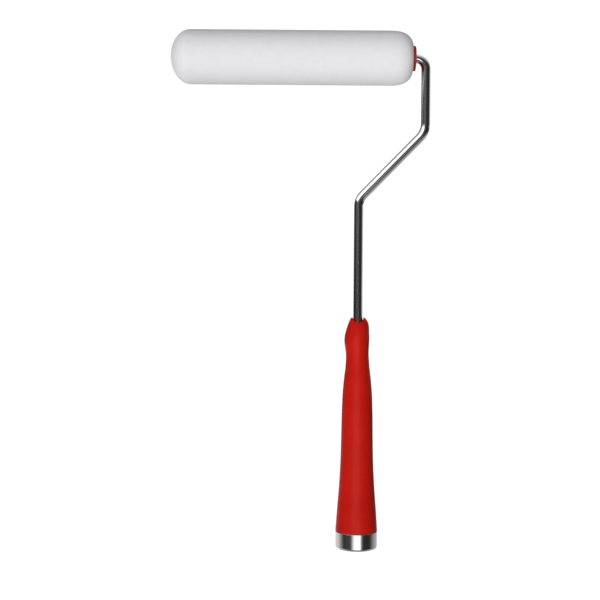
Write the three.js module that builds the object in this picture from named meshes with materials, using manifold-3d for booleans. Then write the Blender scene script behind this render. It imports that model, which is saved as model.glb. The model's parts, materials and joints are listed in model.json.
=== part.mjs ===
// Mini paint roller: a foam cover on a wire cage, a cranked rod, and a moulded handle.
// Millimetres, +Z up. The origin is the centre of the handle's open end. The handle lies on
// the Z axis, and the roller's axle lies along X at the height AXLE_Z.

import * as THREE from 'three';
import { mergeVertices } from 'three/addons/utils/BufferGeometryUtils.js';
import Module from 'manifold-3d';

const wasm = await Module();
wasm.setup();

// ---- Rod: one bent steel wire, from the handle to the axle's end ----
const ROD_R = 3;
const ROD_SIDES = 24;
const ROD_FOOT_Z = 60;
const CRANK_LOW_Z = 226.1;
const CRANK_HIGH_Z = 270.4;
const CRANK_X = 43.05;
const AXLE_Z = 318;
const AXLE_END_X = -108.5;
const LOW_BEND_R = 10.4;
const HIGH_BEND_R = 13.7;
const TOP_BEND_R = 6.8;
const WING_HALF_WIDTH = 4.2;
const WING_HALF_DEPTH = 1.7;
const WING_LENGTH = 12;
const WING_Z = 72;

// ---- Handle and ferrule ----
const HANDLE_SEGMENTS = 36;
const OUTLINE_STEPS = 28;
const HANDLE_BORE_R = 3.1;
const HANDLE_BORE_FOOT_Z = 58;
const NOSE_RIM_R = 4;
const NOSE_TOP_Z = 149.6;
const FERRULE_R = 13.5;
const FERRULE_HEIGHT = 10.8;
const FERRULE_WALL = 0.65;
const FERRULE_EDGE_R = 1.5;
const TAIL_GAP = 0.2;
const SOCKET_MOUTH_R = 9.4;
const SOCKET_TOP_R = 8.2;
const SOCKET_TOP_Z = 50;
const SLOT_R = 3.5;
const SLOT_CENTRE_Z = 149.4;
const SLOT_REACH = 12;

// ---- Cover: foam on a plastic core tube, closed at its far end ----
const COVER_R = 17.6;
const COVER_TIP_X = -122.8;
const COVER_OPEN_X = 34;
const FAR_DOME_DEPTH = 12.8;
const FAR_DOME_POWER = 2;
const NEAR_DOME_TIP_X = 35.2;
const NEAR_DOME_DEPTH = 18;
const NEAR_DOME_POWER = 3.2;
const DOME_STEPS = 8;
const COVER_SEGMENTS = 36;
const CORE_OUTER_R = 7.75;
const CORE_INNER_R = 6.75;
const CORE_FAR_X = -114;
const FOAM_BORE_R = 7.9;
const FOAM_BORE_X = -115.7;

// ---- Cage: end caps, bushings, bowed wires and a middle ring ----
const CAGE_SEGMENTS = 28;
const FLANGE_R = 8.1;
const FLANGE_OUTER_X = 36.1;
const FLANGE_THICKNESS = 1.8;
const HUB_R = 6.45;
const HUB_LENGTH = 12.7;
const OUTER_CAP_X = -104;
const OUTER_CAP_LENGTH = 12;
const CAP_BORE_R = 3.5;
const BUSHING_POCKET_R = 4.15;
const BUSHING_R = 4;
const BUSHING_BORE_R = 3.08;
const BUSHING_LENGTH = 9;
const CAP_WEB = 2.7;
const WIRE_COUNT = 5;
const WIRE_R = 0.7;
const WIRE_HOLE_R = 0.9;
const WIRE_END_RADIUS = 5.3;
const WIRE_BOW_RADIUS = 5.9;
const WIRE_INSERT = 7.5;
const RING_R = 6.3;
const RING_BORE_R = 3.6;
const RING_LENGTH = 6;

// ---- Small parts on the axle ----
const FIXED_BORE_R = 3.12;
const WASHER_R = 4.3;
const WASHER_THICKNESS = 0.7;
const COLLAR_R = 4.3;
const COLLAR_LENGTH = 3.2;
const PUSH_NUT_R = 5.4;
const PUSH_NUT_LENGTH = 2;
const GAP = 0.3;

const materials = {
  chrome: new THREE.MeshStandardMaterial({ color: 0xb9bab8, metalness: 1, roughness: 0.12 }),
  steel: new THREE.MeshStandardMaterial({ color: 0x9a9c9e, metalness: 1, roughness: 0.35 }),
  redGrip: new THREE.MeshStandardMaterial({ color: 0xb91c18, metalness: 0, roughness: 0.32 }),
  redCap: new THREE.MeshStandardMaterial({ color: 0xb8312a, metalness: 0, roughness: 0.4 }),
  foam: new THREE.MeshStandardMaterial({ color: 0xecedf0, metalness: 0, roughness: 0.95 }),
  corePlastic: new THREE.MeshStandardMaterial({ color: 0xdfe2e4, metalness: 0, roughness: 0.5 }),
  nylon: new THREE.MeshStandardMaterial({ color: 0xf1efe6, metalness: 0, roughness: 0.45 }),
};

// ---- Helpers ----

function pointsOf(pairs) {
  return pairs.map(([radius, height]) => new THREE.Vector2(radius, height));
}

// A solid of revolution about Z, from a profile of (radius, z) points.
function turnedAboutZ(profile, segments) {
  return new THREE.LatheGeometry(profile, segments).rotateX(Math.PI / 2);
}

// A solid of revolution about the axle, from a profile of (radius, x) points.
function turnedAboutAxle(profile, segments) {
  const geometry = new THREE.LatheGeometry(profile, segments).rotateZ(-Math.PI / 2);
  return geometry.translate(0, 0, AXLE_Z);
}

// A tube about the axle between two X positions.
function sleeve(innerR, outerR, lowX, highX, segments = CAGE_SEGMENTS) {
  const corners = [[innerR, lowX], [outerR, lowX], [outerR, highX], [innerR, highX], [innerR, lowX]];
  return turnedAboutAxle(pointsOf(corners), segments);
}

// The geometry as a manifold solid: vertices merged by position, collapsed triangles dropped.
function toSolid(geometry) {
  const plain = geometry.clone();
  plain.deleteAttribute('normal');
  plain.deleteAttribute('uv');
  const merged = mergeVertices(plain, 1e-4);
  const kept = [];
  for (let i = 0; i < merged.index.count; i += 3) {
    const [a, b, c] = [0, 1, 2].map((corner) => merged.index.getX(i + corner));
    if (a !== b && b !== c && c !== a) kept.push(a, b, c);
  }
  const vertProperties = new Float32Array(merged.attributes.position.array);
  const triVerts = new Uint32Array(kept);
  return new wasm.Manifold(new wasm.Mesh({ numProp: 3, vertProperties, triVerts }));
}

function toGeometry(solid) {
  const mesh = solid.getMesh();
  const geometry = new THREE.BufferGeometry();
  geometry.setAttribute('position', new THREE.BufferAttribute(mesh.vertProperties, 3));
  geometry.setIndex(new THREE.BufferAttribute(mesh.triVerts, 1));
  geometry.computeVertexNormals();
  return geometry;
}

function cut(geometry, ...tools) {
  const solid = tools.reduce((body, tool) => body.subtract(toSolid(tool)), toSolid(geometry));
  return toGeometry(solid);
}

function boxAt(sizeX, sizeY, sizeZ, x, y, z) {
  return new THREE.BoxGeometry(sizeX, sizeY, sizeZ).translate(x, y, z);
}

function node(name, geometry, material) {
  const mesh = new THREE.Mesh(geometry, material);
  mesh.name = name;
  return mesh;
}

// A path of straight runs joined by arcs. Its parameter steps evenly from station to
// station, with one step for a straight run and BEND_STEPS for an arc.
class BentPath extends THREE.Curve {
  constructor(corners, radii, bendSteps) {
    super();
    this.stations = [];
    this.directions = [];
    const last = corners.length - 1;
    this.addStation(corners[0], corners[1].clone().sub(corners[0]));
    for (let i = 1; i < last; i += 1) {
      this.addBend(corners[i - 1], corners[i], corners[i + 1], radii[i - 1], bendSteps[i - 1]);
    }
    this.addStation(corners[last], corners[last].clone().sub(corners[last - 1]));
  }

  addStation(point, direction) {
    this.stations.push(point.clone());
    this.directions.push(direction.clone().normalize());
  }

  addBend(before, corner, after, radius, steps) {
    const arriving = corner.clone().sub(before).normalize();
    const leaving = after.clone().sub(corner).normalize();
    const turn = arriving.angleTo(leaving);
    const inward = leaving.clone().addScaledVector(arriving, -Math.cos(turn)).normalize();
    const start = corner.clone().addScaledVector(arriving, -radius * Math.tan(turn / 2));
    for (let i = 0; i <= steps; i += 1) {
      const angle = (turn * i) / steps;
      const point = start.clone().addScaledVector(arriving, radius * Math.sin(angle));
      point.addScaledVector(inward, radius * (1 - Math.cos(angle)));
      const direction = arriving.clone().multiplyScalar(Math.cos(angle));
      this.addStation(point, direction.addScaledVector(inward, Math.sin(angle)));
    }
  }

  get steps() {
    return this.stations.length - 1;
  }

  getUtoTmapping(u) {
    return u;
  }

  getPoint(t) {
    return this.stations[Math.round(t * this.steps)].clone();
  }

  getTangent(t) {
    return this.directions[Math.round(t * this.steps)].clone();
  }
}

function circleShape(radius, sides) {
  const points = [];
  for (let i = 0; i < sides; i += 1) {
    const angle = (2 * Math.PI * i) / sides;
    points.push(new THREE.Vector2(radius * Math.cos(angle), radius * Math.sin(angle)));
  }
  return new THREE.Shape(points);
}

function bentWire(path, radius, sides) {
  const options = { steps: path.steps, extrudePath: path, bevelEnabled: false };
  return new THREE.ExtrudeGeometry(circleShape(radius, sides), options);
}

// ---- Frame ----

// The rod rises on the handle's axis, cranks out to one side, rises to the axle's height and
// turns back over the handle. Two flattened wings on its foot keep it from turning in the grip.
function frameRod() {
  const corners = [
    new THREE.Vector3(0, 0, ROD_FOOT_Z),
    new THREE.Vector3(0, 0, CRANK_LOW_Z),
    new THREE.Vector3(CRANK_X, 0, CRANK_HIGH_Z),
    new THREE.Vector3(CRANK_X, 0, AXLE_Z),
    new THREE.Vector3(AXLE_END_X, 0, AXLE_Z),
  ];
  const radii = [LOW_BEND_R, HIGH_BEND_R, TOP_BEND_R];
  const path = new BentPath(corners, radii, [6, 6, 10]);
  const wings = boxAt(2 * WING_HALF_WIDTH, 2 * WING_HALF_DEPTH, WING_LENGTH, 0, 0, WING_Z);
  return toGeometry(toSolid(bentWire(path, ROD_R, ROD_SIDES)).add(toSolid(wings)));
}

// The grip's outside line, from the nose down to the ferrule's shoulder.
function gripOutline() {
  const driving = [
    [NOSE_RIM_R, NOSE_TOP_Z], [5, 148.7], [5.9, 147.1], [6.7, 145.1], [7.5, 141.2], [8, 136],
    [7.85, 132], [7.3, 125.6], [7.7, 117.6], [8.6, 110], [9.45, 100], [9.95, 86.6],
    [10.2, 71], [10.6, 55], [11.4, 39.8], [12.6, 24.2], [FERRULE_R, FERRULE_HEIGHT + GAP],
  ];
  return new THREE.SplineCurve(pointsOf(driving)).getPoints(OUTLINE_STEPS);
}

// How far the nose leans to +X at a height: forward at its shoulder, back at its swelling.
function noseLean(z) {
  const bump = (centre, width) => Math.exp(-(((z - centre) / width) ** 2));
  return 0.45 * bump(145.5, 4) - 0.55 * bump(134, 8);
}

function handleGrip() {
  const tailR = FERRULE_R - FERRULE_WALL - TAIL_GAP;
  const tailFootZ = FERRULE_WALL + TAIL_GAP;
  const profile = [
    ...pointsOf([[0, SOCKET_TOP_Z], [SOCKET_TOP_R, SOCKET_TOP_Z], [SOCKET_MOUTH_R, tailFootZ]]),
    ...pointsOf([[tailR - 1, tailFootZ], [tailR, tailFootZ + 1], [tailR, FERRULE_HEIGHT + GAP]]),
    ...gripOutline().reverse(),
    ...pointsOf([[HANDLE_BORE_R, NOSE_TOP_Z], [HANDLE_BORE_R, HANDLE_BORE_FOOT_Z]]),
    ...pointsOf([[0, HANDLE_BORE_FOOT_Z]]),
  ];
  const body = turnedAboutZ(profile, HANDLE_SEGMENTS);
  const position = body.attributes.position;
  for (let i = 0; i < position.count; i += 1) {
    const radius = Math.hypot(position.getX(i), position.getY(i));
    if (radius > HANDLE_BORE_R + GAP) position.setX(i, position.getX(i) + noseLean(position.getZ(i)));
  }
  return cut(body, noseSlot(), wingPocket());
}

// A round-bottomed slot from front to back across the nose, where the rod enters.
function noseSlot() {
  const outline = new THREE.Shape();
  outline.moveTo(-SLOT_R, SLOT_REACH);
  outline.lineTo(-SLOT_R, 0);
  outline.absarc(0, 0, SLOT_R, Math.PI, 2 * Math.PI, false);
  outline.lineTo(SLOT_R, SLOT_REACH);
  const options = { depth: 2 * SLOT_REACH, bevelEnabled: false, curveSegments: 12 };
  const slot = new THREE.ExtrudeGeometry(outline, options).translate(0, 0, -SLOT_REACH);
  return slot.rotateX(Math.PI / 2).translate(0, 0, SLOT_CENTRE_Z);
}

function wingPocket() {
  const sizes = [WING_HALF_WIDTH, WING_HALF_DEPTH, WING_LENGTH / 2].map((half) => 2 * (half + GAP));
  return boxAt(...sizes, 0, 0, WING_Z);
}

// A drawn steel cup with its bottom punched out: a wall, a rounded edge and a flat lip.
function endFerrule() {
  const innerR = FERRULE_R - FERRULE_WALL;
  const innerEdgeR = FERRULE_EDGE_R - FERRULE_WALL;
  const edgeCentreR = FERRULE_R - FERRULE_EDGE_R;
  const lipR = SOCKET_MOUTH_R + GAP;
  const corner = (radius, step) => {
    const angle = (step * Math.PI) / 8;
    const r = edgeCentreR + radius * Math.sin(angle);
    return [r, FERRULE_EDGE_R - radius * Math.cos(angle)];
  };
  const profile = [
    [lipR, 0],
    ...[0, 1, 2, 3, 4].map((step) => corner(FERRULE_EDGE_R, step)),
    [FERRULE_R, FERRULE_HEIGHT],
    [innerR, FERRULE_HEIGHT],
    ...[4, 3, 2, 1, 0].map((step) => corner(innerEdgeR, step)),
    [lipR, FERRULE_WALL],
    [lipR, 0],
  ];
  return turnedAboutZ(pointsOf(profile), HANDLE_SEGMENTS);
}

// ---- Axle fittings ----

const capInnerX = FLANGE_OUTER_X - FLANGE_THICKNESS - HUB_LENGTH;
const outerCapInnerX = OUTER_CAP_X + OUTER_CAP_LENGTH;

function innerThrustWasher() {
  const highX = capInnerX - GAP;
  return sleeve(FIXED_BORE_R, WASHER_R, highX - WASHER_THICKNESS, highX);
}

// A ring pressed on the axle, with bevelled edges.
function rodStopCollar() {
  const highX = capInnerX - 2 * GAP - WASHER_THICKNESS;
  const lowX = highX - COLLAR_LENGTH;
  const bevel = 0.5;
  const profile = [
    [FIXED_BORE_R, lowX], [COLLAR_R - bevel, lowX], [COLLAR_R, lowX + bevel],
    [COLLAR_R, highX - bevel], [COLLAR_R - bevel, highX], [FIXED_BORE_R, highX], [FIXED_BORE_R, lowX],
  ];
  return turnedAboutAxle(pointsOf(profile), CAGE_SEGMENTS);
}

function outerThrustWasher() {
  const highX = OUTER_CAP_X - GAP;
  return sleeve(FIXED_BORE_R, PUSH_NUT_R, highX - WASHER_THICKNESS, highX);
}

// A sprung steel cap nut: a rim against the washer and a coned face that grips the axle.
function axlePushNut() {
  const highX = OUTER_CAP_X - 2 * GAP - WASHER_THICKNESS;
  const lowX = highX - PUSH_NUT_LENGTH;
  const skin = 0.6;
  const profile = [
    [FIXED_BORE_R, lowX], [FIXED_BORE_R + 0.8, lowX], [PUSH_NUT_R, highX - skin],
    [PUSH_NUT_R, highX], [PUSH_NUT_R - skin, highX], [FIXED_BORE_R + 0.5, lowX + skin],
    [FIXED_BORE_R, lowX + skin], [FIXED_BORE_R, lowX],
  ];
  return turnedAboutAxle(pointsOf(profile), CAGE_SEGMENTS);
}

// ---- Cage ----

function wireAngle(index) {
  return (2 * Math.PI * (index + 0.5)) / WIRE_COUNT;
}

// One hole or groove for each cage wire, at the given radius about the axle.
function wireHoles(atRadius, holeR, lowX, highX) {
  return Array.from({ length: WIRE_COUNT }, (_, index) => {
    const hole = new THREE.CylinderGeometry(holeR, holeR, highX - lowX, 12).rotateZ(Math.PI / 2);
    const angle = wireAngle(index);
    const y = atRadius * Math.cos(angle);
    const z = AXLE_Z + atRadius * Math.sin(angle);
    return hole.translate((lowX + highX) / 2, y, z);
  });
}

// The cap at the arm's end: a thin round flange that the cover stops against, and a hub.
function flangeEndCap() {
  const flangeX = FLANGE_OUTER_X - FLANGE_THICKNESS;
  const webX = flangeX - CAP_WEB;
  const bevel = 0.4;
  const profile = [
    [BUSHING_POCKET_R, capInnerX], [HUB_R - bevel, capInnerX], [HUB_R, capInnerX + bevel],
    [HUB_R, flangeX], [FLANGE_R, flangeX], [FLANGE_R, FLANGE_OUTER_X - bevel],
    [FLANGE_R - bevel, FLANGE_OUTER_X], [CAP_BORE_R, FLANGE_OUTER_X], [CAP_BORE_R, webX],
    [BUSHING_POCKET_R, webX], [BUSHING_POCKET_R, capInnerX],
  ];
  const body = turnedAboutAxle(pointsOf(profile), CAGE_SEGMENTS);
  const holes = wireHoles(WIRE_END_RADIUS, WIRE_HOLE_R, capInnerX - 1, capInnerX + WIRE_INSERT + GAP);
  return cut(body, ...holes);
}

// The cap at the far end: a hub with a tapered lead so that the cover slides on easily.
function outerEndCap() {
  const webX = OUTER_CAP_X + CAP_WEB;
  const lead = 2;
  const profile = [
    [CAP_BORE_R, OUTER_CAP_X], [HUB_R - 1, OUTER_CAP_X], [HUB_R, OUTER_CAP_X + lead],
    [HUB_R, outerCapInnerX], [BUSHING_POCKET_R, outerCapInnerX], [BUSHING_POCKET_R, webX],
    [CAP_BORE_R, webX], [CAP_BORE_R, OUTER_CAP_X],
  ];
  const body = turnedAboutAxle(pointsOf(profile), CAGE_SEGMENTS);
  const lowX = outerCapInnerX - WIRE_INSERT - GAP;
  return cut(body, ...wireHoles(WIRE_END_RADIUS, WIRE_HOLE_R, lowX, outerCapInnerX + 1));
}

function innerBushing() {
  return sleeve(BUSHING_BORE_R, BUSHING_R, capInnerX + GAP, capInnerX + GAP + BUSHING_LENGTH);
}

function outerBushing() {
  const highX = outerCapInnerX - GAP;
  return sleeve(BUSHING_BORE_R, BUSHING_R, highX - BUSHING_LENGTH + GAP, highX);
}

// A spring wire, straight inside its holes and bowed outward between the caps.
function cageWire(index) {
  const angle = wireAngle(index);
  const at = (x, radius) => {
    return new THREE.Vector3(x, radius * Math.cos(angle), AXLE_Z + radius * Math.sin(angle));
  };
  const bowStart = capInnerX - 12;
  const bowEnd = outerCapInnerX + 12;
  const corners = [
    at(capInnerX + WIRE_INSERT, WIRE_END_RADIUS), at(capInnerX - 2, WIRE_END_RADIUS),
    at(bowStart, WIRE_BOW_RADIUS), at(bowEnd, WIRE_BOW_RADIUS),
    at(outerCapInnerX + 2, WIRE_END_RADIUS), at(outerCapInnerX - WIRE_INSERT, WIRE_END_RADIUS),
  ];
  return bentWire(new BentPath(corners, [60, 60, 60, 60], [2, 2, 2, 2]), WIRE_R, 10);
}

// The ring that keeps the wires apart at mid length, with one groove for each.
function cageCentreRing() {
  const middle = (capInnerX + outerCapInnerX) / 2;
  const lowX = middle - RING_LENGTH / 2;
  const highX = middle + RING_LENGTH / 2;
  const body = sleeve(RING_BORE_R, RING_R, lowX, highX);
  return cut(body, ...wireHoles(WIRE_BOW_RADIUS, WIRE_HOLE_R, lowX - 1, highX + 1));
}

// ---- Cover ----

// A dome's outline, from the rim of the cylinder towards the axis. The power is 2 for an
// ellipse and more for a blunter dome. The outline stops at stopRatio of the cover's radius.
function domeOutline(baseX, depth, power, stopRatio) {
  const stopAngle = Math.acos(stopRatio ** (power / 2));
  return Array.from({ length: DOME_STEPS + 1 }, (_, step) => {
    const angle = (stopAngle * step) / DOME_STEPS;
    const radius = COVER_R * Math.cos(angle) ** (2 / power);
    return [radius, baseX + depth * Math.sin(angle) ** (2 / power)];
  });
}

function foamSleeve() {
  const farBaseX = COVER_TIP_X + FAR_DOME_DEPTH;
  const nearBaseX = NEAR_DOME_TIP_X - NEAR_DOME_DEPTH;
  const faceDepth = (COVER_OPEN_X - nearBaseX) / NEAR_DOME_DEPTH;
  const faceRatio = (1 - faceDepth ** NEAR_DOME_POWER) ** (1 / NEAR_DOME_POWER);
  const farDome = domeOutline(farBaseX, -FAR_DOME_DEPTH, FAR_DOME_POWER, 0).reverse();
  const nearDome = domeOutline(nearBaseX, NEAR_DOME_DEPTH, NEAR_DOME_POWER, faceRatio);
  const bore = [[FOAM_BORE_R, COVER_OPEN_X], [FOAM_BORE_R, FOAM_BORE_X], [0, FOAM_BORE_X]];
  farDome[0][0] = 0;
  return turnedAboutAxle(pointsOf([...farDome, ...nearDome, ...bore]), COVER_SEGMENTS);
}

function coverCoreTube() {
  return sleeve(CORE_INNER_R, CORE_OUTER_R, CORE_FAR_X, COVER_OPEN_X, COVER_SEGMENTS);
}

// The plug that closes the core: a disc against the tube's end and a skirt inside it.
function coreEndPlug() {
  const discX = CORE_FAR_X - GAP;
  const discThickness = 1.1;
  const skirtR = CORE_INNER_R - GAP;
  const skirtX = CORE_FAR_X + 4;
  const skirtWall = 1.4;
  const profile = [
    [0, discX - discThickness], [CORE_OUTER_R, discX - discThickness], [CORE_OUTER_R, discX],
    [skirtR, discX], [skirtR, skirtX], [skirtR - skirtWall, skirtX], [skirtR - skirtWall, discX], [0, discX],
  ];
  return turnedAboutAxle(pointsOf(profile), COVER_SEGMENTS);
}

// ---- Assembly ----

const frame = new THREE.Group();
frame.add(
  node('frame_rod', frameRod(), materials.chrome),
  node('handle_grip', handleGrip(), materials.redGrip),
  node('end_ferrule', endFerrule(), materials.chrome),
  node('rod_stop_collar', rodStopCollar(), materials.steel),
  node('inner_thrust_washer', innerThrustWasher(), materials.steel),
  node('outer_thrust_washer', outerThrustWasher(), materials.steel),
  node('axle_push_nut', axlePushNut(), materials.steel),
);

const cage = new THREE.Group();
cage.add(
  node('flange_end_cap', flangeEndCap(), materials.redCap),
  node('outer_end_cap', outerEndCap(), materials.redCap),
  node('inner_bushing', innerBushing(), materials.nylon),
  node('outer_bushing', outerBushing(), materials.nylon),
  node('cage_centre_ring', cageCentreRing(), materials.nylon),
);
for (let index = 0; index < WIRE_COUNT; index += 1) {
  cage.add(node(`cage_wire_${index + 1}`, cageWire(index), materials.steel));
}

const cover = new THREE.Group();
cover.add(
  node('cover_core_tube', coverCoreTube(), materials.corePlastic),
  node('foam_sleeve', foamSleeve(), materials.foam),
  node('core_end_plug', coreEndPlug(), materials.corePlastic),
);

const roller = new THREE.Group();
roller.name = 'mini_paint_roller';
roller.add(frame, cage, cover);

export default roller;
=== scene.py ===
"""The looks of a mini paint roller, built on the frame of its CAD parts.

Sizes are in millimetres, and each mesh is scaled to metres as it is made. The floor and the camera
are in metres. The handle lies on Z, the axle along X, and the open side of the crank faces -X.
"""

import json
import math

import bmesh
import bpy
import numpy as np
from mathutils import Matrix, Vector, noise

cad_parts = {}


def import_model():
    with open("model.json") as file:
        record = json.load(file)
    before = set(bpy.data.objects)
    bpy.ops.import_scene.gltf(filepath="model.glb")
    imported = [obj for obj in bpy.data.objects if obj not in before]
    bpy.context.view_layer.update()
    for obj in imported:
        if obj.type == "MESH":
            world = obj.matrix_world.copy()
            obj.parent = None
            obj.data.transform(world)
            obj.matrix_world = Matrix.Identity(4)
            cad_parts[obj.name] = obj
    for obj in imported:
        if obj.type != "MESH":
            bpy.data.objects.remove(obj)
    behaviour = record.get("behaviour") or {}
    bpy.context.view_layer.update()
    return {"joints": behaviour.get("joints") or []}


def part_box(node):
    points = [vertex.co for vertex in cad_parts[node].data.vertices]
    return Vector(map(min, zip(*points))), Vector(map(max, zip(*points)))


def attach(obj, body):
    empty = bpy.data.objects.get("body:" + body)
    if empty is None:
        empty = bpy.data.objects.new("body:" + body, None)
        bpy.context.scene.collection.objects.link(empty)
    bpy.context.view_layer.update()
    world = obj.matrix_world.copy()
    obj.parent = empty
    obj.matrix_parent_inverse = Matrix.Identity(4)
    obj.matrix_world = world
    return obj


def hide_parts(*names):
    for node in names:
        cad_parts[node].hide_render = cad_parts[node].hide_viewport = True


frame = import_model()
MM = 0.001
WELD = 1e-7  # metres


def mm_box(node):
    """Lowest and highest corner of a CAD node, in millimetres."""
    low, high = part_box(node)
    return low / MM, high / MM


def joint_point(name):
    """A hinge's point, in millimetres."""
    joint = next(j for j in frame["joints"] if j["name"] == name)
    return Vector(joint["pos_m"]) / MM


# ---- Places and sizes read from the frame ----

AXLE_Z = joint_point("cover_spin").z
ROD_LOW, ROD_HIGH = mm_box("frame_rod")
ROD_R = ROD_HIGH.y
CRANK_X = ROD_HIGH.x - ROD_R
FOAM_LOW, FOAM_HIGH = mm_box("foam_sleeve")
CORE_LOW, CORE_HIGH = mm_box("cover_core_tube")
PLUG_LOW, PLUG_HIGH = mm_box("core_end_plug")
CAP_LOW, CAP_HIGH = mm_box("flange_end_cap")
FAR_CAP_LOW, FAR_CAP_HIGH = mm_box("outer_end_cap")
FERRULE_HIGH = mm_box("end_ferrule")[1]
RING_LOW, RING_HIGH = mm_box("cage_centre_ring")

# ---- Rod ----

CRANK_LOW_Z = 226.1
CRANK_HIGH_Z = 270.4
LOW_BEND_R = 10.4
HIGH_BEND_R = 13.7
TOP_BEND_R = 6.8
ROD_BENDS = ((LOW_BEND_R, 18), (HIGH_BEND_R, 20), (TOP_BEND_R, 28))  # radius, pieces in the curve
ROD_RUN_STEPS = (60, 8, 6, 24)  # pieces in each straight, from the foot to the axle
ROD_SIDES = 48
AXLE_CHAMFER = 0.8
WING_Z = 72.0
WING_LENGTH = 12.0
WING_RUN_OUT = 2.0
WING_WIDEN = 1.4
WING_THIN = 0.56

# ---- Handle: the same outline as the CAD grip ----

GRIP_OUTLINE = [
    (4.0, 149.6), (5.0, 148.7), (5.9, 147.1), (6.7, 145.1), (7.5, 141.2), (8.0, 136),
    (7.85, 132), (7.3, 125.6), (7.7, 117.6), (8.6, 110), (9.45, 100), (9.95, 86.6),
    (10.2, 71), (10.6, 55), (11.4, 39.8), (12.6, 24.2), (13.5, 11.1),
]
GRIP_SEGMENTS = 160
GRIP_LINE_STEPS = 8
GRIP_BORE_R = 3.15
NOTCH_R = 3.5
NOTCH_CENTRE_Z = 149.4
NOSE_SHOULDER_Z = 139.0
NOSE_RINGS = 54
NOSE_LINE_POINTS = 260
NOSE_ROUNDING = 4
NOSE_RIM = 0.5
NOSE_LEANS = ((0.45, 145.5, 4), (-0.55, 134, 8))  # amount to +X, height, spread
RIDGE_HEIGHT = 0.09
RIDGE_SPREAD = 0.035
WING_POCKET_R = 4.6
WING_POCKET_LOW = 59.0
WING_POCKET_HIGH = 80.0
PLAIN_BORE_HIGH = 140.0
SOCKET_TOP_Z = 50.0
SOCKET_TOP_R = 8.2
SOCKET_MOUTH_R = 9.4
SOCKET_STEPS = 12
SOCKET_RIBS = 6
RIB_HEIGHT = 0.3
RIB_SPREAD = 0.09
FERRULE_WALL = 0.65
FERRULE_EDGE_R = 1.5
FERRULE_GAP = 0.2

# ---- Cover ----

FAR_DOME = 12.8
FAR_DOME_POWER = 2.0
NEAR_DOME = 18.0
NEAR_DOME_POWER = 3.2
NEAR_DOME_TIP_X = 35.2
FOAM_SEGMENTS = 224
DOME_STEPS = 34
BARREL_STEPS = 150
FOAM_BORE_R = 7.9
FOAM_BORE_FAR_X = -115.7
FOAM_FACE_DIP = 0.08
FOAM_SKIN_DEPTH = 0.09
FOAM_WAVE = (23.0, 0.07)  # size across and height
FOAM_PORE = (1.3, 0.022)
CORE_WALL = 1.0
PLUG_DISC = 1.1
PLUG_WALL = 1.4
PLUG_GAP = 0.3

# ---- Cage ----

CAP_BORE_R = 3.5
POCKET_R = 4.15
HUB_R = 6.45
CAP_WEB = 2.7
FLANGE_THICKNESS = 1.8
FLANGE_RIM = 1.5
FLANGE_BOSS = 1.1
FACE_RECESS = 0.35
RECESS_SLOPE = 0.2
WIRE_COUNT = 5
WIRE_R = 0.7
WIRE_END_RADIUS = 5.3
WIRE_BOW_RADIUS = 5.9
WIRE_BEND_R = 60
WIRE_INSERT = 7.5
WIRE_HOLE_R = 0.85
WIRE_HOLE_SPARE = 0.3
RING_BORE_R = 3.6
RING_HOLE_R = 0.82
BUSHING_BORE_R = 3.08
LATHE_SEGMENTS = 96

# ---- Steel parts on the axle ----

STEEL_BORE_R = 3.12
NUT_SHEET = 0.55
NUT_SLITS = 3
SLIT_DEEP = 0.9
SLIT_HALF_WIDTH = 0.22


# ======== Mesh helpers ========

def make_object(name, vertices, faces, sharp_degrees=40):
    """A mesh object in metres, its faces turned outward and its hard edges marked."""
    mesh = bpy.data.meshes.new(name)
    mesh.from_pydata([tuple(c * MM for c in v) for v in vertices], [], faces)
    piece = bpy.data.objects.new(name, mesh)
    bpy.context.scene.collection.objects.link(piece)
    refine_edges(mesh, sharp_degrees)
    return piece


def refine_edges(mesh, sharp_degrees=40):
    """Joins doubled points, turns the faces outward and marks the hard edges."""
    bm = bmesh.new()
    bm.from_mesh(mesh)
    bmesh.ops.remove_doubles(bm, verts=bm.verts, dist=WELD)
    bmesh.ops.dissolve_degenerate(bm, edges=bm.edges, dist=WELD)
    bmesh.ops.recalc_face_normals(bm, faces=bm.faces)
    limit = math.radians(sharp_degrees)
    for face in bm.faces:
        face.smooth = True
    for edge in bm.edges:
        if len(edge.link_faces) == 2:
            edge.smooth = edge.calc_face_angle(0.0) < limit
    bm.to_mesh(mesh)
    bm.free()


def skin(rings, closed):
    """Vertices and faces over a run of rings. A ring of one point is a pole."""
    vertices, starts = [], []
    for ring in rings:
        starts.append(len(vertices))
        vertices.extend(ring)
    faces = []
    pairs = list(zip(range(len(rings)), range(1, len(rings))))
    if closed:
        pairs.append((len(rings) - 1, 0))
    for a, b in pairs:
        faces.extend(ring_faces(starts[a], len(rings[a]), starts[b], len(rings[b])))
    return vertices, faces


def ring_faces(start_a, count_a, start_b, count_b):
    """Faces between two rings, or a fan where one of them is a pole."""
    sides = max(count_a, count_b)
    for i in range(sides):
        j = (i + 1) % sides
        if count_a == 1:
            yield (start_a, start_b + j, start_b + i)
        elif count_b == 1:
            yield (start_a + i, start_a + j, start_b)
        else:
            yield (start_a + i, start_a + j, start_b + j, start_b + i)


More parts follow.
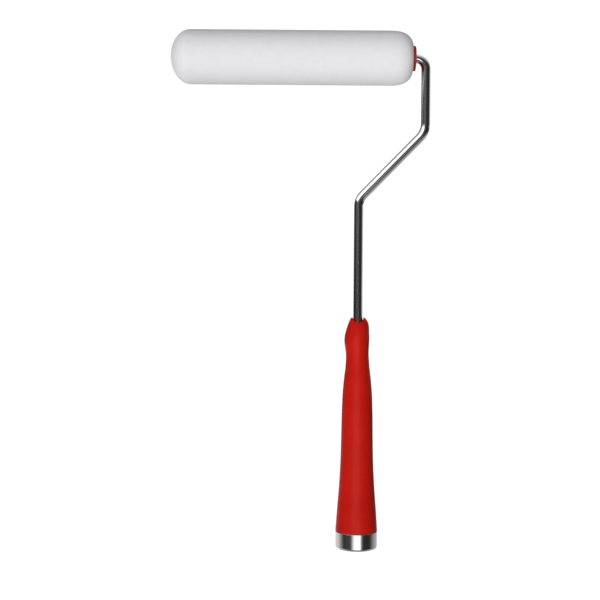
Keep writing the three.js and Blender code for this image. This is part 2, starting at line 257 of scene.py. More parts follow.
def filleted(corners, steps=5):
    """A profile of (radius, height) points from (radius, height, fillet) corners, as a closed loop."""
    out = []
    count = len(corners)
    for i, (r, h, fillet) in enumerate(corners):
        here = Vector((r, h))
        if fillet <= 0:
            out.append((r, h))
            continue
        before = Vector(corners[i - 1][:2]) - here
        after = Vector(corners[(i + 1) % count][:2]) - here
        before.normalize()
        after.normalize()
        half = before.angle(after) / 2
        reach = fillet / math.tan(half)
        centre = here + (before + after).normalized() * (fillet / math.sin(half))
        start = here + before * reach - centre
        end = here + after * reach - centre
        turn = start.angle(end)
        for k in range(steps + 1):
            t = k / steps
            weight_a = math.sin((1 - t) * turn) / math.sin(turn)
            weight_b = math.sin(t * turn) / math.sin(turn)
            out.append(tuple(centre + start * weight_a + end * weight_b))
    return out


def about_z(r, h, angle):
    """A point at radius r and height h, turned about the handle's axis."""
    return (r * math.cos(angle), r * math.sin(angle), h)


def about_axle(r, h, angle):
    """A point at radius r and place h on X, turned about the axle."""
    return (h, r * math.cos(angle), AXLE_Z + r * math.sin(angle))


def circle_angles(count):
    """Evenly spaced angles round a circle, in radians."""
    return [2 * math.pi * i / count for i in range(count)]


def turned(name, profile, place, closed=True, segments=LATHE_SEGMENTS):
    """A solid of revolution. The profile closes on itself, or starts and ends on the axis."""
    rings = []
    for r, h in profile:
        if r <= 1e-9:
            rings.append([place(0, h, 0)])
        else:
            rings.append([place(r, h, a) for a in circle_angles(segments)])
    vertices, faces = skin(rings, closed)
    piece = make_object(name, vertices, faces)
    weighted = piece.modifiers.new("even_normals", "WEIGHTED_NORMAL")
    weighted.keep_sharp = True
    return piece


def swept(name, stations, sides):
    """A closed bar through stations of (point, direction, radius across, radius deep)."""
    rings = [[tuple(stations[0][0])]]
    for point, direction, across, deep in stations:
        side = Vector((0, 1, 0)) if abs(direction.y) < 0.5 else Vector((0, 0, 1))
        out = direction.cross(side).normalized()
        side = out.cross(direction).normalized()
        ring = []
        for a in circle_angles(sides):
            ring.append(tuple(point + out * across * math.cos(a) + side * deep * math.sin(a)))
        rings.append(ring)
    rings.append([tuple(stations[-1][0])])
    vertices, faces = skin(rings, closed=False)
    return make_object(name, vertices, faces)


def bored(piece, cutters):
    """Cuts the cutters out of the piece for good and removes them. Each cut comes before the normals."""
    for cutter in cutters:
        modifier = piece.modifiers.new("cut", "BOOLEAN")
        modifier.operation = "DIFFERENCE"
        modifier.solver = "EXACT"
        modifier.object = cutter
        piece.modifiers.move(len(piece.modifiers) - 1, 0)
        graph = bpy.context.evaluated_depsgraph_get()
        result = bpy.data.meshes.new_from_object(piece.evaluated_get(graph))
        piece.modifiers.remove(modifier)
        piece.data = result
        bpy.data.objects.remove(cutter)
    refine_edges(piece.data, 35)
    return piece


def finish_piece(piece, body, material, slot, *nodes):
    """Gives a piece its material and body, and hides the nodes that it stands for. The slot is not used.
    """
    piece.data.materials.clear()
    piece.data.materials.append(material)
    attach(piece, body)
    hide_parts(*nodes)
    return piece


# ======== Materials ========

class Shader:
    """A principled material with short calls for its nodes."""

    def __init__(self, name):
        self.material = bpy.data.materials.new(name)
        self.material.use_nodes = True
        self.tree = self.material.node_tree
        self.principled = self.tree.nodes["Principled BSDF"]
        self.place = self.tree.nodes.new("ShaderNodeTexCoord").outputs["Object"]

    def set(self, **values):
        """Sets inputs of the shader, with _ for each space in a name."""
        for name, value in values.items():
            self.principled.inputs[name.replace("_", " ")].default_value = value
        return self

    def noise(self, size_mm, detail=3.0, roughness=0.55, stretch=(1, 1, 1)):
        """Noise whose features are about size_mm across."""
        mapping = self.tree.nodes.new("ShaderNodeMapping")
        mapping.inputs["Scale"].default_value = stretch
        self.tree.links.new(self.place, mapping.inputs["Vector"])
        texture = self.tree.nodes.new("ShaderNodeTexNoise")
        texture.inputs["Scale"].default_value = 1 / (size_mm * MM)
        texture.inputs["Detail"].default_value = detail
        texture.inputs["Roughness"].default_value = roughness
        self.tree.links.new(mapping.outputs["Vector"], texture.inputs["Vector"])
        return texture.outputs["Fac"]

    def cells(self, size_mm):
        """Distance to the nearest cell centre, for cells about size_mm across."""
        texture = self.tree.nodes.new("ShaderNodeTexVoronoi")
        texture.inputs["Scale"].default_value = 1 / (size_mm * MM)
        self.tree.links.new(self.place, texture.inputs["Vector"])
        return texture.outputs["Distance"]

    def spread(self, value, low, high, from_low=0.3, from_high=0.7):
        """The value's range from from_low to from_high, spread over low to high."""
        node = self.tree.nodes.new("ShaderNodeMapRange")
        node.inputs["From Min"].default_value = from_low
        node.inputs["From Max"].default_value = from_high
        node.inputs["To Min"].default_value = low
        node.inputs["To Max"].default_value = high
        self.tree.links.new(value, node.inputs["Value"])
        return node.outputs["Result"]

    def colour(self, value, low, high, from_low=0.3, from_high=0.7):
        """Base colour that goes from one colour to another as the value rises."""
        ramp = self.tree.nodes.new("ShaderNodeValToRGB")
        ramp.color_ramp.elements[0].position = from_low
        ramp.color_ramp.elements[1].position = from_high
        ramp.color_ramp.elements[0].color = (*low, 1)
        ramp.color_ramp.elements[1].color = (*high, 1)
        self.tree.links.new(value, ramp.inputs["Fac"])
        self.tree.links.new(ramp.outputs["Color"], self.principled.inputs["Base Color"])
        return self

    def rough(self, value, low, high, from_low=0.3, from_high=0.7):
        """Roughness that goes from low to high as the value rises."""
        spread = self.spread(value, low, high, from_low, from_high)
        self.tree.links.new(spread, self.principled.inputs["Roughness"])
        return self

    def bump(self, value, depth_mm, strength=1.0):
        """Bump on top of any earlier one."""
        node = self.tree.nodes.new("ShaderNodeBump")
        node.inputs["Strength"].default_value = strength
        node.inputs["Distance"].default_value = depth_mm * MM
        self.tree.links.new(value, node.inputs["Height"])
        normal = self.principled.inputs["Normal"]
        if normal.is_linked:
            self.tree.links.new(normal.links[0].from_socket, node.inputs["Normal"])
        self.tree.links.new(node.outputs["Normal"], normal)
        return self


def chrome(name, low, high, rough_low, rough_high):
    """Bright plated steel: faint hazy patches, fine polishing marks and a slight ripple."""
    shader = Shader(name).set(Metallic=1.0)
    shader.colour(shader.noise(14, 4), low, high)
    shader.rough(shader.noise(3, 5, 0.7), rough_low, rough_high)
    shader.bump(shader.noise(9, 1), 0.006, 0.4)
    return shader.material


def moulded(name, low, high, rough_low, rough_high, grain_mm=0.5, grain_depth=0.006):
    """Injection-moulded plastic: slow colour drift, uneven gloss and a fine mould grain."""
    shader = Shader(name).set(Specular_IOR_Level=0.05)
    shader.colour(shader.noise(22, 4), low, high)
    shader.rough(shader.noise(6, 4, 0.6), rough_low, rough_high)
    shader.bump(shader.noise(11, 2), 0.03, 0.5)
    shader.bump(shader.noise(grain_mm, 3, 0.6), grain_depth, 0.6)
    return shader.material


def foam(name):
    """Fine open-cell foam: tiny pores, soft mottling and a bloom of light at grazing angles."""
    shader = Shader(name).set(Sheen_Weight=0.12, Sheen_Roughness=0.6, Specular_IOR_Level=0.15)
    shader.colour(shader.noise(5, 6, 0.65), (0.868, 0.866, 0.892), (0.9, 0.898, 0.924))
    shader.rough(shader.noise(2, 3), 0.88, 1.0)
    shader.bump(shader.noise(2.4, 4, 0.6), 0.018, 0.4)
    shader.bump(shader.cells(0.55), 0.04, 0.4)
    return shader.material


def plated(name, low, high, rough_low, rough_high, lines=(1, 1, 1)):
    """Plain plated or spring steel, with drawn or pressed lines."""
    shader = Shader(name).set(Metallic=1.0)
    shader.colour(shader.noise(4, 4), low, high)
    shader.rough(shader.noise(1.2, 4, 0.6, lines), rough_low, rough_high)
    shader.bump(shader.noise(0.3, 3, 0.6, lines), 0.006, 0.5)
    return shader.material


ROD_CHROME = chrome("rod_chrome", (0.63, 0.63, 0.63), (0.70, 0.70, 0.695), 0.05, 0.10)
FERRULE_CHROME = chrome("ferrule_chrome", (0.66, 0.65, 0.62), (0.72, 0.715, 0.69), 0.07, 0.12)
GRIP_RED = moulded("grip_red", (0.58, 0.0115, 0.0065), (0.65, 0.015, 0.009), 0.2, 0.32)
CAP_RED = moulded("cap_red", (0.33, 0.026, 0.014), (0.40, 0.036, 0.020), 0.36, 0.5, 0.4)
FOAM_WHITE = foam("foam_white")
CORE_PLASTIC = moulded("core_plastic", (0.68, 0.70, 0.72), (0.75, 0.76, 0.78), 0.38, 0.5, 0.6)
NYLON = moulded("bushing_nylon", (0.80, 0.78, 0.70), (0.86, 0.85, 0.79), 0.35, 0.48, 0.5)
ZINC = plated("plated_steel", (0.42, 0.43, 0.45), (0.56, 0.56, 0.56), 0.25, 0.42)
SPRING = plated("spring_steel", (0.32, 0.32, 0.33), (0.44, 0.44, 0.45), 0.2, 0.36, (0.05, 1, 1))


# ======== Rod ========

def bend(before, corner, after, radius, steps):
    """Points and directions round one bend."""
    arriving = (corner - before).normalized()
    leaving = (after - corner).normalized()
    turn = arriving.angle(leaving)
    inward = (leaving - arriving * math.cos(turn)).normalized()
    start = corner - arriving * radius * math.tan(turn / 2)
    for i in range(steps + 1):
        a = turn * i / steps
        point = start + arriving * radius * math.sin(a) + inward * radius * (1 - math.cos(a))
        yield point, arriving * math.cos(a) + inward * math.sin(a)


def run(start, end, count):
    """Evenly spaced points along a straight, both ends included."""
    direction = (end - start).normalized()
    for i in range(count + 1):
        yield start.lerp(end, i / count), direction


def rod_piece():
    """One bent bar: the foot in the handle, the crank and the axle, with a chamfered tip."""
    foot = Vector((0, 0, ROD_LOW.z))
    tip = Vector((ROD_LOW.x, 0, AXLE_Z))
    corners = [
        foot,
        Vector((0, 0, CRANK_LOW_Z)),
        Vector((CRANK_X, 0, CRANK_HIGH_Z)),
        Vector((CRANK_X, 0, AXLE_Z)),
        tip,
    ]
    curves = [
        list(bend(corners[i - 1], corners[i], corners[i + 1], radius, steps))
        for i, (radius, steps) in enumerate(ROD_BENDS, 1)
    ]
    line = list(run(foot, curves[0][0][0], ROD_RUN_STEPS[0]))[:-1]
    straight_ends = [curve[0][0] for curve in curves[1:]] + [tip]
    for curve, end, steps in zip(curves, straight_ends, ROD_RUN_STEPS[1:]):
        line += curve + list(run(curve[-1][0], end, steps))[1:-1]
    stations = [rod_section(point, direction) for point, direction in line]
    away = Vector((-1, 0, 0))
    for back, cut in ((1.0, 0.0), (0.3, 0.45), (0.0, 1.0)):
        radius = ROD_R - AXLE_CHAMFER * cut
        stations.append((tip - away * AXLE_CHAMFER * back, away, radius, radius))
    rod = swept("cranked_rod", stations, ROD_SIDES)
    return finish_piece(rod, "frame", ROD_CHROME, "rod_chrome", "frame_rod")


def rod_section(point, direction):
    """The rod is round, and pressed into two flat wings near its foot."""
    away = abs(point.z - WING_Z) - WING_LENGTH / 2
    press = max(0.0, min(1.0, -away / WING_RUN_OUT))
    across = ROD_R * (1 + (WING_WIDEN - 1) * press)
    deep = ROD_R * (1 + (WING_THIN - 1) * press)
    return point, direction, across, deep


# ======== Handle ========

def catmull_rom(points, steps):
    """A smooth line through the points, with steps pieces between each pair."""
    padded = [points[0], *points, points[-1]]
    out = []
    for i in range(len(points) - 1):
        p0, p1, p2, p3 = (np.array(p, float) for p in padded[i:i + 4])
        for k in range(steps):
            t = k / steps
            out.append(tuple(0.5 * (
                2 * p1 + (p2 - p0) * t
                + (2 * p0 - 5 * p1 + 4 * p2 - p3) * t ** 2
                + (3 * p1 - p0 - 3 * p2 + p3) * t ** 3
            )))
    out.append(points[-1])
    return out


def nose_lean(z):
    """How far the nose leans to +X at a height."""
    return sum(
        amount * math.exp(-(((z - height) / spread) ** 2))
        for amount, height, spread in NOSE_LEANS
    )


def notch_height(x):
    """Height of the round-bottomed notch across the nose, at a distance x from the rod's axis."""
    if abs(x) >= NOTCH_R:
        return math.inf
    return NOTCH_CENTRE_Z - math.sqrt(NOTCH_R ** 2 - x ** 2)


def resampled(line, count):
    """The same line in count evenly spaced points."""
    points = np.array(line)
    lengths = np.r_[0, np.cumsum(np.linalg.norm(np.diff(points, axis=0), axis=1))]
    at = np.linspace(0, lengths[-1], count)
    return np.column_stack([np.interp(at, lengths, points[:, k]) for k in range(points.shape[1])])


def softened(line, passes):
    """The line with its corners rounded, its ends kept."""
    points = line.copy()
    for _ in range(passes):
        points[1:-1] = 0.25 * points[:-2] + 0.5 * points[1:-1] + 0.25 * points[2:]
    return points


def nose_column(angle, outline):
    """Points from the nose's shoulder over its notched rim to the rod's bore, at one angle."""
    top_r, top_z = GRIP_OUTLINE[0]
    upper = [p for p in outline if p[1] >= NOSE_SHOULDER_Z]
    upper += [(top_r - NOSE_RIM, top_z + 0.02), (GRIP_BORE_R, top_z)]
    fine = resampled(upper, NOSE_LINE_POINTS)
    cut = [(r, min(z, notch_height(r * math.cos(angle)))) for r, z in fine]
    return softened(resampled(cut, NOSE_RINGS), NOSE_ROUNDING)


def parting_ridge(angle):
    """A fine raised line where the two mould halves meet, at +X and -X."""
    off = math.remainder(angle, math.pi)
    return RIDGE_HEIGHT * math.exp(-((off / RIDGE_SPREAD) ** 2))


def leaned(ring):
    """The ring moved over with the nose. The rod's bore stays straight."""
    return [
        (x + nose_lean(z), y, z) if math.hypot(x, y) > GRIP_BORE_R + 0.2 else (x, y, z)
        for x, y, z in ring
    ]


def grip_piece():
    """One skin: up the pole socket, round the mouth, up the outside, and down the rod's bore."""
    angles = circle_angles(GRIP_SEGMENTS)
    outline = catmull_rom(GRIP_OUTLINE, GRIP_LINE_STEPS)[::-1]
    below = [p for p in outline if p[1] < NOSE_SHOULDER_Z]
    columns = [nose_column(a, outline) for a in angles]
    rings = [[(0, 0, SOCKET_TOP_Z)]]
    rings += socket_rings(angles)
    for r, z in below:
        rings.append([about_z(r + parting_ridge(a), z, a) for a in angles])
    for k in range(NOSE_RINGS):
        rings.append([about_z(column[k][0], column[k][1], a) for column, a in zip(columns, angles)])
    rings = [leaned(ring) for ring in rings]
    for r, z in (
        (GRIP_BORE_R, PLAIN_BORE_HIGH),
        (GRIP_BORE_R, WING_POCKET_HIGH),
        (WING_POCKET_R, WING_POCKET_HIGH - 0.5),
        (WING_POCKET_R, WING_POCKET_LOW),
    ):
        rings.append([about_z(r, z, a) for a in angles])
    rings.append([(0, 0, WING_POCKET_LOW - 1)])
    vertices, faces = skin(rings, closed=False)
    grip = make_object("red_grip", vertices, faces, 50)
    return finish_piece(grip, "frame", GRIP_RED, "grip_red", "handle_grip")


def socket_rings(angles):
    """The pole socket from its top down, its mouth, and the tail that the ferrule covers."""
    tail_r = FERRULE_HIGH.x - FERRULE_WALL - FERRULE_GAP
    foot = FERRULE_WALL + FERRULE_GAP
    mouth_z = foot + 0.8
    shoulder_z = FERRULE_HIGH.z + 0.3
    rings = []
    for step in range(SOCKET_STEPS + 1):
        t = step / SOCKET_STEPS
        z = SOCKET_TOP_Z + (mouth_z - SOCKET_TOP_Z) * t
        r = SOCKET_TOP_R + (SOCKET_MOUTH_R - SOCKET_TOP_R) * t
        rib = RIB_HEIGHT * (1 - t) ** 0.5
        rings.append([about_z(r - rib * rib_shape(a), z, a) for a in angles])
    for r, z in (
        (SOCKET_MOUTH_R + 0.25, foot + 0.25),
        (SOCKET_MOUTH_R + 0.6, foot),
        (tail_r - 1, foot),
        (tail_r - 0.3, foot + 0.3),
        (tail_r, foot + 1),
        (tail_r, shoulder_z),
        (FERRULE_HIGH.x - 0.25, shoulder_z),
    ):
        rings.append([about_z(r, z, a) for a in angles])
    return rings


def rib_shape(angle):
    """1 on a crush rib and 0 between ribs."""
    step = 2 * math.pi / SOCKET_RIBS
    off = math.remainder(angle, step)
    return math.exp(-((off / RIB_SPREAD) ** 2))


def ferrule_piece():
    """A drawn cup round the handle's end, its foot rolled in to the socket's mouth."""
    outer = FERRULE_HIGH.x
    inner = outer - FERRULE_WALL
    lip = SOCKET_MOUTH_R + 0.3
    profile = filleted([
        (lip, 0, 0.12),
        (outer, 0, FERRULE_EDGE_R),
        (outer, FERRULE_HIGH.z, 0.12),
        (inner, FERRULE_HIGH.z, 0.1),
        (inner, FERRULE_WALL, FERRULE_EDGE_R - FERRULE_WALL),
        (lip, FERRULE_WALL, 0.12),
    ], 8)
    ferrule = turned("chromed_ferrule", profile, about_z, segments=192)
    return finish_piece(ferrule, "frame", FERRULE_CHROME, "ferrule_chrome", "end_ferrule")


# ======== Cover ========

def dome(base_x, depth, power, stop_r):
    """A dome's outline from the cylinder's rim towards the axis, down to radius stop_r."""
    radius = FOAM_HIGH.y
    stop = math.acos((stop_r / radius) ** (power / 2))
    out = []
    for i in range(DOME_STEPS + 1):
        a = stop * i / DOME_STEPS
        out.append((radius * math.cos(a) ** (2 / power), base_x + depth * math.sin(a) ** (2 / power)))
    return out


def foam_profile():
    """The foam's outline from the far pole over both domes to the bottom of the bore."""
    face_x = FOAM_HIGH.x
    near_base = NEAR_DOME_TIP_X - NEAR_DOME
    face = (face_x - near_base) / NEAR_DOME
    face_r = FOAM_HIGH.y * (1 - face ** NEAR_DOME_POWER) ** (1 / NEAR_DOME_POWER)
    far = dome(FOAM_LOW.x + FAR_DOME, -FAR_DOME, FAR_DOME_POWER, 0.0)[::-1]
    near = dome(near_base, NEAR_DOME, NEAR_DOME_POWER, face_r + 0.1)
    start_x, end_x = far[-1][1], near[0][1]
    barrel = [
        (FOAM_HIGH.y, start_x + (end_x - start_x) * i / BARREL_STEPS)
        for i in range(1, BARREL_STEPS)
    ]
    lip = [
        (face_r - 0.25, face_x - 0.05),
        (face_r - 1, face_x - FOAM_FACE_DIP),
        (FOAM_BORE_R + 0.5, face_x - FOAM_FACE_DIP),
        (FOAM_BORE_R + 0.1, face_x - 0.1),
    ]
    bore = [(FOAM_BORE_R, face_x - 0.3), (FOAM_BORE_R, FOAM_BORE_FAR_X), (0.0, FOAM_BORE_FAR_X)]
    return [(0.0, far[0][1])] + far[1:] + barrel + near + lip + bore


def foam_piece():
    """The foam sleeve with its uneven, pebbled skin. Its bore is smooth."""
    rings = []
    for r, x in foam_profile():
        if r <= 1e-6:
            rings.append([about_axle(0, x, 0)])
            continue
        in_bore = r <= FOAM_BORE_R + 0.2
        ring = []
        for a in circle_angles(FOAM_SEGMENTS):
            depth = 0.0 if in_bore else foam_relief(r, x, a)
            ring.append(about_axle(r - depth, x, a))
        rings.append(ring)
    vertices, faces = skin(rings, closed=False)
    cover = make_object("foam_cover", vertices, faces)
    return finish_piece(cover, "cover", FOAM_WHITE, "foam_white", "foam_sleeve")


def foam_relief(r, x, angle):
    """How far the foam's skin lies below its true round: a slow unevenness and pebbled pores."""
    here = Vector((x, r * math.cos(angle), r * math.sin(angle)))
    depth = FOAM_SKIN_DEPTH
    for size, height in (FOAM_WAVE, FOAM_PORE):
        depth += height * noise.noise(here / size)
    return depth


def core_piece():
    """The tube inside the foam."""
    outer, inner = CORE_HIGH.y, CORE_HIGH.y - CORE_WALL
    profile = filleted([
        (inner, CORE_LOW.x, 0.3),
        (outer, CORE_LOW.x, 0.15),
        (outer, CORE_HIGH.x, 0.15),
        (inner, CORE_HIGH.x, 0.4),
    ], 4)
    core = turned("core_tube", profile, about_axle)
    return finish_piece(core, "cover", CORE_PLASTIC, "core_plastic", "cover_core_tube")


def plug_piece():
    """The plug in the core's closed end: a disc with a skirt."""
    disc_low, disc_high = PLUG_LOW.x, PLUG_LOW.x + PLUG_DISC
    skirt_r = CORE_HIGH.y - CORE_WALL - PLUG_GAP
    profile = filleted([
        (0, disc_low, 0),
        (PLUG_HIGH.y, disc_low, 0.3),
        (PLUG_HIGH.y, disc_high, 0.2),
        (skirt_r, disc_high, 0.15),
        (skirt_r, PLUG_HIGH.x, 0.35),
        (skirt_r - PLUG_WALL, PLUG_HIGH.x, 0.35),
        (skirt_r - PLUG_WALL, disc_high, 0.3),
        (0, disc_high, 0),
    ], 4)
    plug = turned("core_plug", profile, about_axle, closed=False)
    return finish_piece(plug, "cover", CORE_PLASTIC, "core_plastic", "core_end_plug")


# ======== Cage ========

def wire_angle(index):
    """Where a wire stands round the axle."""
    return 2 * math.pi * (index + 0.5) / WIRE_COUNT


def wire_cutters(at_radius, hole_r, low_x, high_x):
    """One round cutter for each cage wire."""
    cutters = []
    for index in range(WIRE_COUNT):
        a = wire_angle(index)
        y, z = at_radius * math.cos(a), AXLE_Z + at_radius * math.sin(a)
        start, end = Vector((low_x, y, z)), Vector((high_x, y, z))
        stations = [(p, d, hole_r, hole_r) for p, d in run(start, end, 1)]
        cutters.append(swept(f"cutter_{index}", stations, 32))
    return cutters


def flange_cap_piece():
    """The end cap at the arm, with its flange, a recessed face and a pocket for the bushing."""
    low_x, face_x = CAP_LOW.x, CAP_HIGH.x
    flange_x = face_x - FLANGE_THICKNESS
    web_x = flange_x - CAP_WEB
    recess_x = face_x - FACE_RECESS
    rim_r = CAP_HIGH.y - FLANGE_RIM
    boss_r = CAP_BORE_R + FLANGE_BOSS
    profile = filleted([
        (POCKET_R, low_x, 0.25),
        (HUB_R, low_x, 0.5),
        (HUB_R, flange_x, 0.2),
        (CAP_HIGH.y, flange_x, 0.3),
        (CAP_HIGH.y, face_x, 0.45),
        (rim_r, face_x, 0.2),
        (rim_r - 0.3, recess_x, 0.1),
        (boss_r + RECESS_SLOPE, recess_x, 0.1),
        (boss_r, face_x, 0.1),
        (CAP_BORE_R, face_x, 0.2),
        (CAP_BORE_R, web_x, 0.1),
        (POCKET_R, web_x, 0.1),
    ], 5)
    cap = turned("flange_cap", profile, about_axle)
    hole_end = low_x + WIRE_INSERT + WIRE_HOLE_SPARE
    bored(cap, wire_cutters(WIRE_END_RADIUS, WIRE_HOLE_R, low_x - 1, hole_end))
    return finish_piece(cap, "cage", CAP_RED, "cap_red", "flange_end_cap")


def far_cap_piece():
    """The end cap at the far end of the cage, with a tapered nose that the core slides over."""
    low_x, high_x = FAR_CAP_LOW.x, FAR_CAP_HIGH.x
    web_x = low_x + CAP_WEB
    profile = filleted([
        (CAP_BORE_R, low_x, 0.2),
        (HUB_R - 1, low_x, 0.4),
        (HUB_R, low_x + 2, 0.8),
        (HUB_R, high_x, 0.3),
        (POCKET_R, high_x, 0.25),
        (POCKET_R, web_x, 0.1),
        (CAP_BORE_R, web_x, 0.1),
    ], 5)
    cap = turned("far_cap", profile, about_axle)
    hole_end = high_x - WIRE_INSERT - WIRE_HOLE_SPARE
    bored(cap, wire_cutters(WIRE_END_RADIUS, WIRE_HOLE_R, hole_end, high_x + 1))
    return finish_piece(cap, "cage", CAP_RED, "cap_red", "outer_end_cap")


def bushing_piece(name, node):
    """A plain nylon bushing pressed into a cap."""
    low, high = mm_box(node)
    profile = filleted([
        (BUSHING_BORE_R, low.x, 0.3),
        (high.y, low.x, 0.25),
        (high.y, high.x, 0.25),
        (BUSHING_BORE_R, high.x, 0.3),
    ], 4)
    bushing = turned(name, profile, about_axle)
    return finish_piece(bushing, "cage", NYLON, "bushing_nylon", node)


def wire_piece(index):
    """A spring wire, straight in its holes and bowed outward between the caps."""
    a = wire_angle(index)
    radial = Vector((0, math.cos(a), math.sin(a)))

    def at(x, radius):
        return Vector((x, 0, AXLE_Z)) + radial * radius

    corners = [
        at(CAP_LOW.x + WIRE_INSERT, WIRE_END_RADIUS),
        at(CAP_LOW.x - 2, WIRE_END_RADIUS),
        at(CAP_LOW.x - 12, WIRE_BOW_RADIUS),
        at(FAR_CAP_HIGH.x + 12, WIRE_BOW_RADIUS),
        at(FAR_CAP_HIGH.x + 2, WIRE_END_RADIUS),
        at(FAR_CAP_HIGH.x - WIRE_INSERT, WIRE_END_RADIUS),
    ]
    away = Vector((-1, 0, 0))
    line = [(corners[0], away)]
    for i in range(1, len(corners) - 1):
        line += list(bend(corners[i - 1], corners[i], corners[i + 1], WIRE_BEND_R, 6))
    line.append((corners[-1], away))
    stations = [(point, direction, WIRE_R, WIRE_R) for point, direction in line]
    wire = swept(f"spring_wire_{index + 1}", stations, 20)
    return finish_piece(wire, "cage", SPRING, "spring_steel", f"cage_wire_{index + 1}")


def centre_ring_piece():
    """The ring that the wires run through at mid length."""
    low, high = RING_LOW.x, RING_HIGH.x
    outer = RING_HIGH.z - AXLE_Z
    profile = filleted([
        (RING_BORE_R, low, 0.3),
        (outer, low, 0.5),
        (outer, high, 0.5),
        (RING_BORE_R, high, 0.3),
    ], 5)
    ring = turned("wire_ring", profile, about_axle)
    bored(ring, wire_cutters(WIRE_BOW_RADIUS, RING_HOLE_R, low - 1, high + 1))
    return finish_piece(ring, "cage", NYLON, "bushing_nylon", "cage_centre_ring")


# ======== Small steel parts on the axle ========

def steel_ring_piece(name, node, edge):
    """A washer or collar with edges rounded to a radius."""
    low, high = mm_box(node)
    profile = filleted([
        (STEEL_BORE_R, low.x, edge / 2),
        (high.y, low.x, edge),
        (high.y, high.x, edge),
        (STEEL_BORE_R, high.x, edge / 2),
    ], 4)
    ring = turned(name, profile, about_axle)
    return finish_piece(ring, "frame", ZINC, "plated_steel", node)


def push_nut_piece():
    """A sprung cap with a rim and a coned face split into six fingers."""
    low, high = mm_box("axle_push_nut")
    rim = high.y
    profile = filleted([
        (STEEL_BORE_R, low.x, 0.1),
        (STEEL_BORE_R + 0.8, low.x, 0.2),
        (rim, high.x - NUT_SHEET, 0.3),
        (rim, high.x, 0.15),
        (rim - NUT_SHEET, high.x, 0.1),
        (STEEL_BORE_R + 0.5, low.x + NUT_SHEET, 0.2),
        (STEEL_BORE_R, low.x + NUT_SHEET, 0.1),
    ], 4)
    nut = turned("push_nut", profile, about_axle)
    middle = Vector(((low.x + high.x) / 2 - 0.35, 0, AXLE_Z))
    reach = rim - 1.2
    cutters = []
    for index in range(NUT_SLITS):
        a = math.pi * index / NUT_SLITS
        side = Vector((0, math.cos(a), math.sin(a)))
        slit = run(middle - side * reach, middle + side * reach, 1)
        stations = [(p, d, SLIT_DEEP, SLIT_HALF_WIDTH) for p, d in slit]
        cutters.append(swept(f"slit_{index}", stations, 24))
    bored(nut, cutters)
    return finish_piece(nut, "frame", SPRING, "spring_steel", "axle_push_nut")


# ======== Build ========

rod_piece()
grip_piece()
ferrule_piece()
foam_piece()
core_piece()
plug_piece()
flange_cap_piece()
far_cap_piece()
bushing_piece("near_bushing", "inner_bushing")
bushing_piece("far_bushing", "outer_bushing")
centre_ring_piece()
for wire_index in range(WIRE_COUNT):
    wire_piece(wire_index)
steel_ring_piece("stop_collar", "rod_stop_collar", 0.5)
steel_ring_piece("near_washer", "inner_thrust_washer", 0.12)
steel_ring_piece("far_washer", "outer_thrust_washer", 0.12)
push_nut_piece()


# ======== Stage: floor, world, light, camera, in metres ========

BACKDROP = 1.05
FLOOR_Z = -0.30
FLOOR_R = 1.0
FLOOR_ALPHA = 0.25
FLOOR_FADE = (0.45 * FLOOR_R, 0.98 * FLOOR_R)


def floor():
    """A pale, see-through disc that fades out towards its edge. It leaves the light as it is."""
    mesh = bpy.data.meshes.new("floor")
    bm = bmesh.new()
    bmesh.ops.create_circle(bm, cap_ends=True, segments=96, radius=FLOOR_R)
    bm.to_mesh(mesh)
    bm.free()
    disc = bpy.data.objects.new("floor", mesh)
    disc.location = (0, 0, FLOOR_Z)
    bpy.context.scene.collection.objects.link(disc)
    shader = Shader("pale_floor").set(Base_Color=(0.82, 0.82, 0.82, 1), Roughness=0.9)
    nodes, links = shader.tree.nodes, shader.tree.links
    length = nodes.new("ShaderNodeVectorMath")
    length.operation = "LENGTH"
    links.new(shader.place, length.inputs[0])
    fade = shader.spread(length.outputs["Value"], FLOOR_ALPHA, 0.0, *FLOOR_FADE)
    links.new(fade, shader.principled.inputs["Alpha"])
    mesh.materials.append(shader.material)
    disc.visible_glossy = False
    disc.visible_diffuse = False


class WorldMath:
    """Short calls for sums on the direction a ray leaves in."""

    def __init__(self, tree):
        self.tree = tree
        self.place = tree.nodes.new("ShaderNodeTexCoord").outputs["Generated"]
        split = tree.nodes.new("ShaderNodeSeparateXYZ")
        tree.links.new(self.place, split.inputs["Vector"])
        self.x, self.y, self.z = (split.outputs[k] for k in "XYZ")

    def sum(self, operation, a, b=0.0):
        """One sum of two numbers or sockets."""
        node = self.tree.nodes.new("ShaderNodeMath")
        node.operation = operation
        for socket, value in zip(node.inputs, (a, b)):
            if isinstance(value, (int, float)):
                socket.default_value = value
            else:
                self.tree.links.new(value, socket)
        return node.outputs["Value"]

    def step(self, value, start, end, before=0.0, after=1.0):
        """Goes smoothly from before, where the value is at start, to after, where it is at end."""
        node = self.tree.nodes.new("ShaderNodeMapRange")
        node.interpolation_type = "SMOOTHSTEP"
        settings = {"From Min": start, "From Max": end, "To Min": before, "To Max": after}
        for name, number in settings.items():
            node.inputs[name].default_value = number
        self.tree.links.new(value, node.inputs["Value"])
        return node.outputs["Result"]

    def product(self, *values):
        out = values[0]
        for value in values[1:]:
            out = self.sum("MULTIPLY", out, value)
        return out

    def total(self, *values):
        out = values[0]
        for value in values[1:]:
            out = self.sum("ADD", out, value)
        return out

    def left_by(self, share):
        """What a share leaves of 1."""
        return self.sum("SUBTRACT", 1.0, share)

    def either(self, switch, on, off):
        """The first value where the switch is 1, and the second where it is 0."""
        return self.total(self.product(switch, on), self.product(self.left_by(switch), off))

    def toward(self, *direction):
        """Cosine of the angle to a direction."""
        node = self.tree.nodes.new("ShaderNodeVectorMath")
        node.operation = "DOT_PRODUCT"
        self.tree.links.new(self.place, node.inputs[0])
        node.inputs[1].default_value = Vector(direction).normalized()
        return node.outputs["Value"]


# The numbers below are parts of a unit vector towards the light, and levels of light.

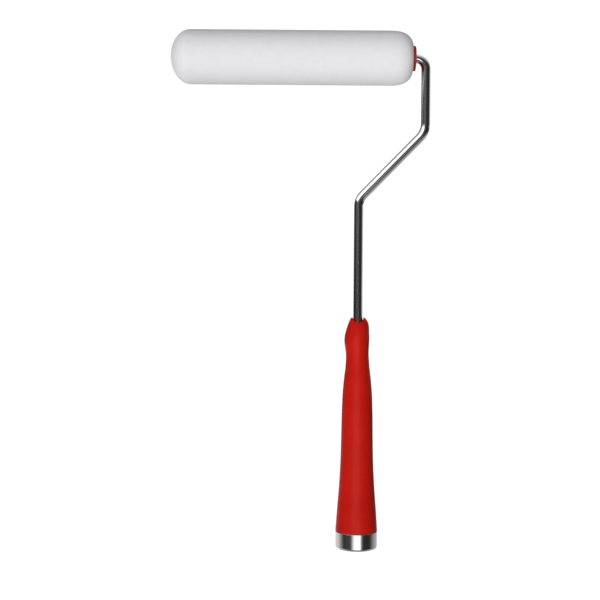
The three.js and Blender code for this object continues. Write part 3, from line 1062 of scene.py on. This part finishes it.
def reflections(w):
    """What polished metal sees: a dim room, light from behind and overhead, and three soft cards."""
    room = w.product(
        w.step(w.x, -0.98, -0.82),
        w.step(w.x, 0.3, -0.5),
        w.step(w.z, -0.04, 0.09, 0.03, 0.105),
    )
    low_reach = w.step(w.z, -0.2, -0.45, 0.0, 0.6)
    behind = w.step(w.sum("ADD", w.y, low_reach), -0.3, 0.7, 0.0, 0.78)
    left_flag = w.product(w.step(w.x, -0.08, -0.35), w.step(w.z, -0.19, -0.07))
    right_flag = w.product(
        w.step(w.x, 0.1, 0.3),
        w.step(w.z, -0.19, -0.15, 0.4, 1.0),
        w.step(w.z, 0.0, -0.04),
    )
    ground = w.product(w.step(w.z, -0.5, -0.66), w.step(w.x, 0.62, 0.45), 0.6)
    wall = w.product(behind, w.left_by(left_flag), w.left_by(right_flag), w.left_by(ground))
    low_card = w.product(
        w.step(w.y, -0.3, -0.6),
        w.step(w.x, -0.58, -0.08),
        w.step(w.x, 0.62, 0.2),
        w.step(w.sum("ADD", w.x, w.z), 0.28, 0.04),
        w.step(w.z, -0.15, -0.19),
        w.step(w.z, -0.62, -0.42),
        1.6,
    )
    high_card = w.product(
        w.step(w.z, 0.2, 0.34),
        w.step(w.x, 0.16, -0.10),
        w.step(w.sum("ABSOLUTE", w.sum("ADD", w.x, w.z)), 0.62, 0.4),
        w.step(w.y, 0.4, 0.15),
        1.5,
    )
    dim_card = w.product(
        w.step(w.x, 0.08, 0.25),
        w.step(w.x, 0.65, 0.4),
        w.step(w.z, 0.0, -0.1),
        w.step(w.z, -0.3, -0.2),
        0.22,
    )
    overhead = w.product(w.step(w.z, 0.35, 1.05, 0.0, 0.8), w.step(w.x, -0.6, -0.2))
    least = 0.03
    return w.total(least, room, wall, low_card, high_card, dim_card, overhead)


def soft_light(w):
    """What matt surfaces see: light in front, behind, above and below, and a room lighter at -X."""
    front = w.product(w.step(w.toward(-0.11, -0.96, -0.25), 0.80, 0.98), 3.68)
    behind = w.product(w.step(w.y, 0.3, 0.85), w.step(w.x, -0.6, 0.6, 1.15, 0.45))
    room = w.step(w.x, -0.8, 0.8, 0.27, 0.04)
    upper_shade = w.step(w.z, -0.2, 0.5, 0.0, -0.10)
    overhead = w.step(w.z, 0.68, 0.95, 0.0, 0.33)
    underneath = w.step(w.z, -0.68, -0.95, 0.0, 0.22)
    return w.total(front, behind, room, upper_shade, overhead, underneath)


def world():
    """Plain white to the camera, with soft light and reflections that don't change between views."""
    studio = bpy.data.worlds.new("studio")
    bpy.context.scene.world = studio
    studio.use_nodes = True
    tree = studio.node_tree
    tree.nodes.clear()
    w = WorldMath(tree)
    path = tree.nodes.new("ShaderNodeLightPath")
    light = w.either(path.outputs["Is Glossy Ray"], reflections(w), soft_light(w))
    seen = w.either(path.outputs["Is Camera Ray"], BACKDROP, light)
    background = tree.nodes.new("ShaderNodeBackground")
    background.inputs["Color"].default_value = (1, 1, 1, 1)
    tree.links.new(seen, background.inputs["Strength"])
    output = tree.nodes.new("ShaderNodeOutputWorld")
    tree.links.new(background.outputs["Background"], output.inputs["Surface"])


CAMERA_DISTANCE = 0.68
CAMERA_FIELD = 0.39
CAMERA_AIM = Vector((-0.0377, 0.0, 0.1605))
CAMERA_ROLL = 0.45  # degrees
SENSOR = 36.0  # millimetres


def camera():
    """Level with the middle of the tool, square to the crank, and rolled very slightly."""
    data = bpy.data.cameras.new("camera")
    data.sensor_width = SENSOR
    data.lens = SENSOR * CAMERA_DISTANCE / CAMERA_FIELD
    eye = bpy.data.objects.new("camera", data)
    level = Matrix.Rotation(math.radians(90), 4, "X")
    roll = Matrix.Rotation(math.radians(CAMERA_ROLL), 4, "Z")
    place = Matrix.Translation(CAMERA_AIM - Vector((0, CAMERA_DISTANCE, 0)))
    eye.matrix_world = place @ level @ roll
    bpy.context.scene.collection.objects.link(eye)
    bpy.context.scene.camera = eye


floor()
world()
camera()
bpy.context.scene.view_settings.view_transform = "Standard"
